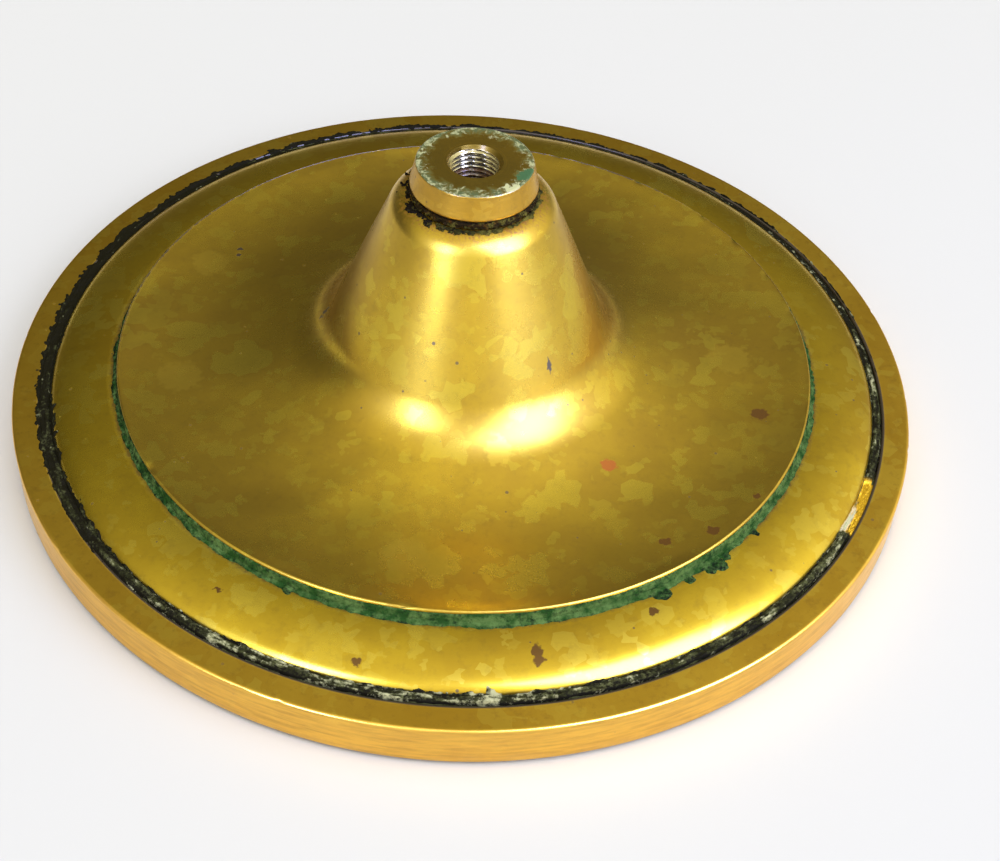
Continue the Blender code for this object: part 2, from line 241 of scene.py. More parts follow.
def layFilm(finish, share, tone, metallic=None, roughness=None):
    # a film or stain over the finish, as thick as share says
    tree = finish["tree"]
    finish["colour"] = addNode(tree, "Mix", {0: share, 6: finish["colour"], 7: tone}, data_type="RGBA")
    if metallic is not None:
        finish["metal"] = addNode(tree, "Mix", {0: share, 2: finish["metal"], 3: metallic})
    if roughness is not None:
        finish["rough"] = addNode(tree, "Mix", {0: share, 2: finish["rough"], 3: roughness})


# what glancing light takes from old brass, and the index of the lacquer left on it
lacquer = {"glint": "#fff0c8", "ior": 1.6}


def closeFinish(finish, bumpMm, coat=0.0, coatRoughness=0.2):
    # wires colour, metal, roughness and relief to the shader; bumpMm is the relief's full height
    tree = finish["tree"]
    shader = tree.nodes["Principled BSDF"]
    for name, key in (("Base Color", "colour"), ("Metallic", "metal"), ("Roughness", "rough")):
        if isinstance(finish[key], bpy.types.NodeSocket):
            tree.links.new(finish[key], shader.inputs[name])
        else:
            shader.inputs[name].default_value = finish[key]
    glint = colour(lacquer["glint"] if finish["metallic"] else "#ffffff")
    for name, value in (("Coat Weight", coat), ("Coat Roughness", coatRoughness),
                        ("Coat IOR", lacquer["ior"]), ("Specular Tint", glint)):
        shader.inputs[name].default_value = value
    if bumpMm:
        bump = addNode(tree, "Bump", {"Height": finish["height"], "Strength": 1.0, "Distance": bumpMm * mm})
        tree.links.new(bump, shader.inputs["Normal"])
    return finish["material"]


def patchShare(finish, size, detail, roughness, start, end, most=1.0):
    # 0 to most: cloudy noise of this size in mm, cut between two of its levels
    tree, place = finish["tree"], finish["place"]
    sockets = {"Vector": place, "Scale": 1 / size, "Detail": detail, "Roughness": roughness}
    noise = addNode(tree, "TexNoise", sockets)
    return addNode(tree, "MapRange", {"Value": noise, "From Min": start, "From Max": end, "To Max": most})


def raggedBand(finish, value, band, ragged, cut, most=1.0):
    # 0 to most: rises across a band of the value, thinned by a noise and cut between two levels
    tree = finish["tree"]
    share = addNode(tree, "MapRange", {"Value": value, "From Min": band[0], "From Max": band[1]})
    share = addNode(tree, "Math", {0: share, 1: ragged}, operation="MULTIPLY")
    return addNode(tree, "MapRange", {"Value": share, "From Min": cut[0], "From Max": cut[1], "To Max": most})


def spotShare(finish, spots, waviness=0.9):
    # 1 inside any spot given as (degrees, radius, size in mm), seen from above, with a ragged edge
    tree, place = finish["tree"], finish["place"]
    ragged = addNode(tree, "TexNoise", {"Vector": place, "Scale": 0.9, "Detail": 4.0}, out="Color")
    ragged = addNode(tree, "VectorMath", {0: ragged, 1: (0.5, 0.5, 0.5)}, operation="SUBTRACT")
    ragged = addNode(tree, "VectorMath", {0: ragged, "Scale": 2 * waviness}, operation="SCALE")
    moved = addNode(tree, "VectorMath", {0: place, 1: ragged}, operation="ADD")
    flat = addNode(tree, "VectorMath", {0: moved, 1: (1, 1, 0)}, operation="MULTIPLY")
    total = 0.0
    for degrees, radius, size in spots:
        middle = (radius * math.cos(math.radians(degrees)), radius * math.sin(math.radians(degrees)), 0)
        away = addNode(tree, "VectorMath", {0: flat, 1: middle}, operation="DISTANCE")
        share = addNode(tree, "MapRange", {"Value": away, "From Min": size * 0.55, "From Max": size * 0.4})
        total = addNode(tree, "Math", {0: share, 1: total}, operation="MAXIMUM")
    return total


def agedBrass(name, look):
    # Cast brass, turned and left to tarnish. The casting's grains show as angular paler patches a
    # few millimetres across, soft brown clouds lie over them, dark specks dot them, and fine tool
    # lines run round the axis.
    finish = startFinish(name, colour(look["mid"]), 1.0, look["roughness"])
    tree, place = finish["tree"], finish["place"]
    clouds = patchShare(finish, 26, 5.0, 0.62, 0.4, 0.66)
    layFilm(finish, clouds, colour(look["deep"]), roughness=look["roughness"] + 0.05)
    grains = 0.0
    for size, edge, chosen, strength in ((7.0, 2.6, 0.87, 1.0), (3.9, 1.6, 0.87, 0.9), (1.9, 0.8, 0.88, 0.7)):
        corner = addNode(tree, "TexVoronoi", {"Vector": place, "Scale": 1 / edge}, out="Position")
        cell = addNode(tree, "TexVoronoi", {"Vector": corner, "Scale": 1 / size}, out="Color")
        pick = addNode(tree, "SeparateColor", {0: cell})
        green = pick.node.outputs[1]
        share = addNode(tree, "Math", {0: pick, 1: chosen}, operation="GREATER_THAN")
        amount = addNode(tree, "MapRange", {"Value": green, "To Min": 0.25 * strength, "To Max": strength})
        share = addNode(tree, "Math", {0: share, 1: amount}, operation="MULTIPLY")
        grains = addNode(tree, "Math", {0: share, 1: grains}, operation="MAXIMUM")
        faint = addNode(tree, "MapRange", {"Value": green, "To Min": 0.0, "To Max": 0.16 * strength})
        layFilm(finish, faint, colour(look["deep"]))
    grains = addNode(tree, "Math", {0: grains, 1: look["grains"]}, operation="MULTIPLY")
    layFilm(finish, grains, colour(look["bright"]), roughness=look["roughness"] - 0.03)
    mottle = patchShare(finish, 2.4, 4.0, 0.7, 0.52, 0.75, look["mottle"])
    layFilm(finish, mottle, colour(look["brown"]), roughness=look["roughness"] + 0.1)
    for size, reach, chosen in ((5.0, 0.055, 0.62), (2.6, 0.07, 0.8)):
        speck = addNode(tree, "TexVoronoi", {"Vector": place, "Scale": 1 / size}, out="Distance")
        pick = addNode(tree, "SeparateColor", {0: speck.node.outputs["Color"]})
        edge = addNode(tree, "MapRange", {"Value": speck, "From Min": reach * 1.5, "From Max": reach})
        share = addNode(tree, "Math", {0: pick, 1: chosen}, operation="GREATER_THAN")
        share = addNode(tree, "Math", {0: share, 1: edge}, operation="MULTIPLY")
        share = addNode(tree, "Math", {0: share, 1: look["specks"]}, operation="MULTIPLY")
        layFilm(finish, share, colour(look["speck"]), 0.3, 0.6)
    # Tool lines: noise that is fine in r and z, and long round the axis. Real lines are finer.
    flat = addNode(tree, "VectorMath", {0: place, 1: (1, 1, 0)}, operation="MULTIPLY")
    radius = addNode(tree, "VectorMath", {0: flat}, operation="LENGTH")
    turn = addNode(tree, "VectorMath", {0: flat}, operation="NORMALIZE")
    turnX = addNode(tree, "SeparateXYZ", {0: turn})
    turnY = turnX.node.outputs[1]
    height = addNode(tree, "SeparateXYZ", {0: place}, out="Z")
    across = addNode(tree, "CombineXYZ", {0: radius, 1: height, 2: 0.0})
    across = addNode(tree, "VectorMath", {0: across, "Scale": 1 / look["linePitch"]}, operation="SCALE")
    around = addNode(tree, "Math", {0: turnX, 1: 4.0}, operation="MULTIPLY")
    around = addNode(tree, "CombineXYZ", {2: around})
    across = addNode(tree, "VectorMath", {0: across, 1: around}, operation="ADD")
    around = addNode(tree, "Math", {0: turnY, 1: 4.0}, operation="MULTIPLY")
    lines = addNode(tree, "TexNoise", {"Vector": across, "W": around, "Scale": 1.0, "Detail": 2.0},
                    noise_dimensions="4D")
    pits = addNode(tree, "TexNoise", {"Vector": place, "Scale": 1 / 0.9, "Detail": 3.0, "Roughness": 0.6})
    waves = addNode(tree, "TexNoise", {"Vector": place, "Scale": 1 / 9, "Detail": 2.0})
    relief = addNode(tree, "Math", {0: lines, 1: look["lines"]}, operation="MULTIPLY")
    relief = addNode(tree, "Math", {0: pits, 1: look["pits"], 2: relief}, operation="MULTIPLY_ADD")
    relief = addNode(tree, "Math", {0: waves, 1: look["waves"], 2: relief}, operation="MULTIPLY_ADD")
    finish["height"] = relief
    finish["radius"], finish["heightMm"] = radius, height
    return finish


bareBrass = "#d8a824"        # clean metal that shows where a crust has fallen out


def verdigrisCrust(name, look):
    # Copper carbonate grown out of a damp joint: matt, chalky and green, black where dirt has
    # packed into it and where shade is painted in, and white where it has dried. Attributes "pale"
    # and "dark" place those, and "brass" says where it has fallen away.
    finish = startFinish(name, colour(look["green"]), 0.0, 0.9)
    tree, place = finish["tree"], finish["place"]
    patch = addNode(tree, "TexNoise", {"Vector": place, "Scale": 1 / 2.6, "Detail": 5.0, "Roughness": 0.65})
    share = addNode(tree, "MapRange", {"Value": patch, "From Min": 0.42, "From Max": 0.62})
    layFilm(finish, share, colour(look["light"]))
    grit = addNode(tree, "TexNoise", {"Vector": place, "Scale": 1 / 0.7, "Detail": 4.0, "Roughness": 0.75})
    dark = addNode(tree, "Attribute", attribute_name="dark", out="Fac")
    dark = addNode(tree, "Math", {0: grit, 1: 2.0, 2: dark}, operation="MULTIPLY_ADD")
    dark = addNode(tree, "MapRange", {"Value": dark, "From Min": 1.15, "From Max": 1.65})
    layFilm(finish, dark, colour(look["black"]), roughness=0.75)
    pale = addNode(tree, "Attribute", attribute_name="pale", out="Fac")
    fleck = addNode(tree, "TexNoise", {"Vector": place, "Scale": 1 / 1.1, "Detail": 5.0, "Roughness": 0.75})
    pale = addNode(tree, "Math", {0: fleck, 1: 1.6, 2: pale}, operation="MULTIPLY_ADD")
    pale = addNode(tree, "MapRange", {"Value": pale, "From Min": 1.22, "From Max": 1.55})
    layFilm(finish, pale, colour(look["white"]))
    bare = addNode(tree, "Attribute", attribute_name="brass", out="Fac")
    layFilm(finish, bare, colour(bareBrass), 1.0, 0.3)
    finish["height"] = addNode(tree, "Math", {0: grit, 1: patch}, operation="ADD")
    material = closeFinish(finish, 0.25)
    tree.nodes["Principled BSDF"].inputs["Specular IOR Level"].default_value = look["gloss"]
    return material


footRingLook = {
    "columns": 512, "edge": 0.55, "sag": 0.05,
    "rimWidth": 5.5, "flangeReach": 13.0, "flange": (3.1, 5.1),       # the flange's under and upper face
    "mid": "#cea62c", "deep": "#b28a17", "bright": "#ddc344", "brown": "#8a6317", "speck": "#3a2812",
    # the last colour here is painted shade, laid on the rim's inner corner along the seam
    "wall": "#f4c04a", "seamShade": "#2e230a",
    "roughness": 0.29, "grains": 0.34, "mottle": 0.5, "specks": 0.7,
    "linePitch": 0.5, "lines": 0.3, "pits": 0.2, "waves": 0.8,
    "stain": "#693f1f", "streak": "#8a5b1e",
}


def buildFootRing():
    look = footRingLook
    low, high = boxMm("foot_ring")
    radius, bottom, top = high[0], low[2], high[2]
    inner, flange, edge = radius - look["rimWidth"], radius - look["flangeReach"], look["edge"]
    flangeLow, flangeHigh = (bottom + height for height in look["flange"])
    profile = outline(
        arcLine((inner + 0.4, top - 0.4), (0.4, 0.4), 180, 90, 5),
        straightLine((inner + 0.4, top), (radius - edge, top), 14),
        arcLine((radius - edge, top - edge), (edge, edge), 90, 0, 8),
        straightLine((radius, top - edge), (radius, bottom + 0.8), 14),
        arcLine((radius - 0.6, bottom + 0.8), (0.6, 0.8), 0, -90, 6),
        straightLine((radius - 0.6, bottom), (inner, bottom), 6),
        (inner, flangeLow), (flange, flangeLow), (flange, flangeHigh), (inner, flangeHigh),
    )
    grid, angles = turnedGrid(profile, look["columns"])
    outside = smoothStep(radius - 1.5, radius - 0.2, profile[:, 0])[:, None]
    grid = pushOut(grid, angles, -look["sag"] * (0.5 + 0.5 * roughNoise(grid, 18, 3)) * outside)
    nearTop = smoothStep(top - 1.2, top - 0.2, profile[:, 1])[:, None]
    nicks = smoothStep(0.62, 0.9, softNoise(grid, 2.2, 11)) * nearTop
    grid = pushOut(grid, angles, -0.22 * nicks * outside)
    piece = meshFromGrid("footRing", grid)
    finish = agedBrass("turnedRimBrass", look)
    tree, place = finish["tree"], finish["place"]
    # Brown grime that creeps up the wall from the foot.
    ragged = addNode(tree, "TexNoise", {"Vector": place, "Scale": 1 / 7, "Detail": 5.0, "Roughness": 0.65})
    ragged = addNode(tree, "MapRange", {"Value": ragged, "From Min": 0.3, "From Max": 0.7,
                                        "To Min": 0.2, "To Max": 3.2})
    share = addNode(tree, "Math", {0: finish["heightMm"], 1: ragged}, operation="SUBTRACT")
    share = addNode(tree, "MapRange", {"Value": share, "From Min": 1.2, "From Max": -0.6, "To Max": 0.75})
    layFilm(finish, share, colour(look["stain"]), 0.75, 0.45)
    # Painted shade: dark colour on the rim's inner corner, along the seam.
    corner = addNode(tree, "MapRange", {"Value": finish["radius"],
                                        "From Min": inner + 0.75, "From Max": inner + 0.45})
    layFilm(finish, corner, colour(look["seamShade"]), 0.2, 0.7)
    # Brown handling streaks that run round the wall.
    lengthwise = addNode(tree, "VectorMath", {0: place, 1: (0.11, 0.11, 1.3)}, operation="MULTIPLY")
    streak = addNode(tree, "TexNoise", {"Vector": lengthwise, "Scale": 1.0, "Detail": 5.0, "Roughness": 0.65})
    onWall = addNode(tree, "MapRange", {"Value": finish["radius"],
                                        "From Min": radius - 0.6, "From Max": radius - 0.2})
    layFilm(finish, addNode(tree, "Math", {0: onWall, 1: 0.7}, operation="MULTIPLY"), colour(look["wall"]))
    streak = addNode(tree, "MapRange", {"Value": streak, "From Min": 0.42, "From Max": 0.66, "To Max": 0.38})
    streak = addNode(tree, "Math", {0: streak, 1: onWall}, operation="MULTIPLY")
    layFilm(finish, streak, colour(look["streak"]), roughness=0.38)
    finishPiece(piece, closeFinish(finish, 0.03, 0.4, 0.2), "rim_brass", "base", "foot_ring")


mouldingLook = {
    "columns": 512, "rebateGap": 0.3, "crownGap": 1.3, "footInset": 1.7, "ovoloRise": 3.5, "flangeDrop": 5.3,
    "mid": "#caab1e", "deep": "#ae8d13", "bright": "#ddca4e", "brown": "#836717", "speck": "#3a2812",
    "roughness": 0.27, "grains": 0.42, "mottle": 0.35, "specks": 0.8,
    "linePitch": 0.6, "lines": 0.25, "pits": 0.2, "waves": 0.8,
    "spots": [(-77.2, 76.0, 2.4), (-77.2, 77.6, 2.4), (-100, 79.7, 1.7), (-121, 76.5, 1.0), (-60, 73.6, 1.8)],
    "spotTone": "#5e3e08",
    # painted shade for the corners under the trumpet's lip and at the moulding's foot
    "cornerShade": "#3f2b0e",
}


def ovoloEnds():
    # radii where the moulding's convex face starts, at its crown, and ends, at its foot
    lip, skirt = boxMm("trumpet")[1][0], boxMm("step_moulding")[1][0]
    return lip + mouldingLook["crownGap"], skirt - mouldingLook["footInset"]


def ovoloArc(start, end, count):
    # part of the convex face, a quarter ellipse
    (crown, foot), rise, top = ovoloEnds(), mouldingLook["ovoloRise"], boxMm("step_moulding")[1][2]
    return arcLine((crown, top - rise), (foot - crown, rise), start, end, count)


def buildMoulding():
    look = mouldingLook
    low, high = boxMm("step_moulding")
    rebate = boxMm("trumpet")[1][0] + look["rebateGap"]      # wall of the rebate the trumpet's rim sits in
    skirt, top, bottom = high[0], high[2], low[2]
    crown, foot = ovoloEnds()
    flange, pocket = top - look["flangeDrop"], rebate + 7    # the skirt's top, and the hollow below the step
    profile = outline(
        (rebate, top - 0.15), (rebate + 0.15, top),
        straightLine((rebate + 0.15, top), (crown, top), 3),
        ovoloArc(90, 0, 44),
        straightLine((foot, top - look["ovoloRise"]), (foot, flange), 4),
        (skirt, flange), (skirt, bottom), (pocket, bottom), (pocket, top - 2.9),
        (rebate - 4.9, top - 2.9), (rebate - 4.9, top - 1.05), (rebate, top - 1.05),
    )
    grid, angles = turnedGrid(profile, look["columns"])
    shown = smoothStep(crown - 0.5, crown + 1, profile[:, 0]) * smoothStep(top - 5, top - 3, profile[:, 1])
    grid = pushOut(grid, angles, 0.05 * roughNoise(grid, 16, 5) * shown[:, None])
    piece = meshFromGrid("stepMoulding", grid)
    finish = agedBrass("turnedMouldingBrass", look)
    tree, place = finish["tree"], finish["place"]
    layFilm(finish, spotShare(finish, look["spots"], 1.3), colour(look["spotTone"]), 0.85, 0.45)
    # Painted shade: dark colour in the corner under the trumpet's lip and at the moulding's foot.
    ragged = addNode(tree, "TexNoise", {"Vector": place, "Scale": 1 / 1.6, "Detail": 5.0, "Roughness": 0.7})
    for band in ((crown + 1.6, crown - 0.2), (foot - 0.5, foot + 0.1)):
        near = raggedBand(finish, finish["radius"], band, ragged, (0.18, 0.5), 0.8)
        layFilm(finish, near, colour(look["cornerShade"]), 0.5, 0.55)
    finishPiece(piece, closeFinish(finish, 0.03, 0.4, 0.2), "moulding_brass", "base", "step_moulding")


trumpetLook = {
    "columns": 448, "wall": 2.4, "flareRadius": 13.0, "toeRadius": 70.0, "toeDegrees": 15.0,
    "flankDegrees": 67.5, "flankPoint": (22.6, 34.0), "shoulderRadius": 5.0,
    "lipRise": 2.45, "dishBottomUnderLip": 1.15, "lipRound": 0.4,
    "pitch": 1.5, "threadDepth": 0.8, "bore": 8.3, "neckLow": 40.0,
    "shoulderRows": 18, "flankRows": 26, "flareRows": 36, "toeRows": 24, "dishRows": 36,
    "mid": "#c8a60c", "deep": "#ae8b07", "bright": "#ddc933", "brown": "#836509", "speck": "#3a2a10",
    "roughness": 0.26, "grains": 0.42, "mottle": 0.3, "specks": 0.8,
    "linePitch": 0.9, "lines": 0.1, "pits": 0.15, "waves": 0.9,
    "redSpots": [(-47.1, 42.25, 2.9)], "redTone": "#a65c08",
    "brownSpots": [(-13, 60.1, 3.6), (-32.8, 67.2, 1.6), (-51.4, 62.6, 2.2), (-43.7, 66.2, 2.6)],
    "brownTone": "#6c4604",
    "darkSpots": [(-49.4, 24.9, 1.0), (152, 56.6, 1.2), (153.6, 55.9, 1.4), (179, 28.4, 1.2),
                  (181, 29.2, 1.0)],
    "darkTone": "#2a1c0c",
    "halo": "#8a5a16", "darkBand": "#3a2a10",
    # the next table and the last colour above darken the lip's edge round the back: dirt and painted shade
    "lipDirtAndShade": [(0, 0.0), (40, 0.2), (60, 0.9), (150, 0.9), (185, 0.6), (215, 0.1), (250, 0.0)],
    "palePatches": [(2.5, 53.3, 9.0), (-97.5, 56.9, 9.0), (159, 59.4, 8.0), (-166, 57.2, 9.0),
                    (-76, 33, 5.0)],
    "paleTone": "#d3b32c",
}


def trumpetShape():
    # outside: shoulder arc, straight flank, flare arc, gentler toe arc and shallow dish; the first
    # two arcs' centres lie on the flank's line moved along its normal by the arc's radius
    look = trumpetLook
    lip, _, neckTop = boxMm("trumpet")[1]
    crownTop = boxMm("step_moulding")[1][2]
    lipTop = crownTop + look["lipRise"]
    dishLow = lipTop - look["dishBottomUnderLip"]
    steep = math.radians(look["flankDegrees"])
    pointR, pointZ = look["flankPoint"]

    def besideFlank(distance, height):
        # where the flank's line, moved this far along its normal, passes this height
        r = pointR + distance * math.sin(steep)
        z = pointZ + distance * math.cos(steep)
        return r + (z - height) / math.tan(steep)

    shoulder = look["shoulderRadius"]
    flare = look["flareRadius"]
    shoulderAt = (besideFlank(-shoulder, neckTop - shoulder), neckTop - shoulder)
    toe, toeTurn = look["toeRadius"], math.radians(look["toeDegrees"])
    flareHeight = dishLow + toe * (1 - math.cos(toeTurn)) + flare * math.cos(toeTurn)
    flareAt = (besideFlank(flare, flareHeight), flareHeight)
    toeAt = (flareAt[0] + (toe - flare) * math.sin(toeTurn), dishLow + toe)
    width, rise = lip - toeAt[0], lipTop - dishLow
    dishRadius = (width**2 + rise**2) / (2 * rise)
    dishAt = (toeAt[0], dishLow + dishRadius)
    return {"lip": lip, "lipTop": lipTop, "neckTop": neckTop, "crownTop": crownTop,
            "normal": 90 - look["flankDegrees"], "shoulderAt": shoulderAt, "flareAt": flareAt,
            "toeAt": toeAt, "dishAt": dishAt, "dishRadius": dishRadius, "besideFlank": besideFlank}


def dishArc(shape, offset, start, end, count):
    # part of the dish's arc, or of the arc this far below it, from r = start to r = end
    radius = shape["dishRadius"] + offset
    startTurn, endTurn = (-math.degrees(math.acos((r - shape["dishAt"][0]) / radius)) for r in (start, end))
    return arcLine(shape["dishAt"], (radius, radius), startTurn, endTurn, count)


def buildTrumpet():
    look = trumpetLook
    shape = trumpetShape()
    wall, shoulder, flare = look["wall"], look["shoulderRadius"], look["flareRadius"]
    lip, lipTop, edge = shape["lip"], shape["lipTop"], look["lipRound"]
    normal, flareAt = shape["normal"], shape["flareAt"]
    bore, neckLow = look["bore"], look["neckLow"]
    seatLow = shape["crownTop"] - 0.75
    shoulderArc = arcLine(shape["shoulderAt"], (shoulder, shoulder), 90, normal, look["shoulderRows"])
    toe, toeAt, toeStart = look["toeRadius"], shape["toeAt"], -90 - look["toeDegrees"]
    flareArc = arcLine(flareAt, (flare, flare), normal - 180, toeStart, look["flareRows"])
    toeArc = arcLine(toeAt, (toe, toe), toeStart, -90, look["toeRows"])
    innerToe = arcLine(toeAt, (toe + wall, toe + wall), -90, toeStart, 8)
    innerFlare = arcLine(flareAt, (flare + wall, flare + wall), toeStart, normal - 180, 16)
    threadRows = straightLine((bore, neckLow + 0.4), (bore, shape["neckTop"] - 0.4), 96)
    profile = outline(
        (bore + 0.5, shape["neckTop"]),
        shoulderArc,
        straightLine(shoulderArc[-1], flareArc[0], look["flankRows"]),
        flareArc,
        toeArc,
        dishArc(shape, 0, toeAt[0], lip - edge, look["dishRows"]),
        arcLine((lip - edge, lipTop - edge), (edge, edge), 85, 0, 7),
        straightLine((lip, lipTop - edge), (lip, seatLow), 6),
        (lip - 4, seatLow),
        dishArc(shape, wall, lip - 5.2, toeAt[0], 8),
        innerToe,
        innerFlare,
        (shape["besideFlank"](-wall, neckLow), neckLow), (bore + 0.8, neckLow),
        threadRows,
    )
    grid, angles = turnedGrid(profile, look["columns"])
    inBore = (np.abs(profile[:, 0] - bore) < 1e-3) & (profile[:, 1] > neckLow)
    cut = look["threadDepth"] * threadWave(profile[:, 1:], angles, look["pitch"]) * inBore[:, None]
    grid = pushOut(grid, angles, cut)
    topRows = sum(look[part + "Rows"] for part in ("shoulder", "flank", "flare", "toe", "dish"))
    onTop = np.arange(len(profile)) < topRows
    # The dish and flank are a little uneven, and the lip has small chips.
    r, z = profile[:, :1], profile[:, 1:]
    bend = 0.1 * roughNoise(grid, 14, 7, 2) * onTop[:, None] * smoothStep(lip, lip - 3, r)
    grid[..., 2] += bend * smoothStep(12, 20, r)
    chips = smoothStep(0.45, 0.8, softNoise(grid, 1.6, 21)) * smoothStep(-1.2, -0.3, r - lip)
    chips = chips * smoothStep(lipTop - 0.9, lipTop - 0.3, z)
    grid[..., 2] -= 0.25 * chips
    piece = meshFromGrid("trumpetShell", grid)
    # share for darkening the lip's edge round the back: dirt and painted shade
    nearLip = smoothStep(lip - 1.1, lip - 0.5, r) * smoothStep(lipTop - 2.6, lipTop - 0.9, z)
    giveShare(piece, "darkBand", nearLip * aroundAxis(angles, look["lipDirtAndShade"]))
    finish = agedBrass("burnishedTrumpetBrass", look)
    tree, place = finish["tree"], finish["place"]
    pale = spotShare(finish, look["palePatches"], 2.4)
    pale = addNode(tree, "Math", {0: pale, 1: 0.5}, operation="MULTIPLY")
    layFilm(finish, pale, colour(look["paleTone"]))
    for kind, metallic in (("red", 0.8), ("brown", 0.9), ("dark", 0.1)):
        spots = spotShare(finish, look[kind + "Spots"], 1.1)
        layFilm(finish, spots, colour(look[kind + "Tone"]), metallic, 0.5)
    # Pitted orange-brown halo on the shoulder, below the joint with the collar.
    ragged = addNode(tree, "TexNoise", {"Vector": place, "Scale": 1 / 1.3, "Detail": 6.0, "Roughness": 0.75})
    halo = raggedBand(finish, finish["heightMm"], (49.8, 53.0), ragged, (0.3, 0.56))
    pitted = patchShare(finish, 0.55, 3.0, 0.6, 0.4, 0.6)
    halo = addNode(tree, "Math", {0: halo, 1: pitted}, operation="MULTIPLY")
    layFilm(finish, halo, colour(look["halo"]), 0.55, 0.5)
    # Thin brown line where dirt lies inside the lip.
    rim = raggedBand(finish, finish["radius"], (lip - 3.0, lip - 0.5), ragged, (0.3, 0.65), 0.35)
    layFilm(finish, rim, colour(look["brown"]), roughness=0.4)
    # The lip's edge is darkened round the back, away from the lamps: dirt and painted shade.
    darkBand = addNode(tree, "Attribute", attribute_name="darkBand", out="Fac")
    darkBand = addNode(tree, "Math", {0: darkBand, 1: ragged}, operation="MULTIPLY")
    darkBand = addNode(tree, "MapRange", {"Value": darkBand, "From Min": 0.2, "From Max": 0.42, "To Max": 0.9})
    layFilm(finish, darkBand, colour(look["darkBand"]), 0.3, 0.6)
    finishPiece(piece, closeFinish(finish, 0.04, 0.55, 0.33), "trumpet_brass", "base", "trumpet")


collarLook = {
    "columns": 176, "headHeight": 5.0, "taper": 1.0, "spigot": 8.0, "bore": 4.46,
    "borePitch": 1.0, "boreDepth": 0.54, "spigotPitch": 1.5, "spigotDepth": 0.85,
    "mid": "#d2a023", "deep": "#a27d1c", "bright": "#e7c043", "brown": "#694d1a", "speck": "#30220e",
    "roughness": 0.27, "grains": 0.25, "mottle": 0.35, "specks": 0.5,
    "linePitch": 0.28, "lines": 0.8, "pits": 0.5, "waves": 0.4,
    "topTone": "#49420c", "verdigris": "#3a5431", "chalk": "#a0a583", "boreTone": "#beb386",
    "tealTone": "#28582e", "whiteTone": "#b4b898", "darkBand": "#5c3c12",
    "tealSpots": [(-20, 9.9, 3.2), (-14, 10.2, 2.6)], "whiteSpots": [(-47, 10.2, 2.4), (-40, 10.3, 1.8)],
}


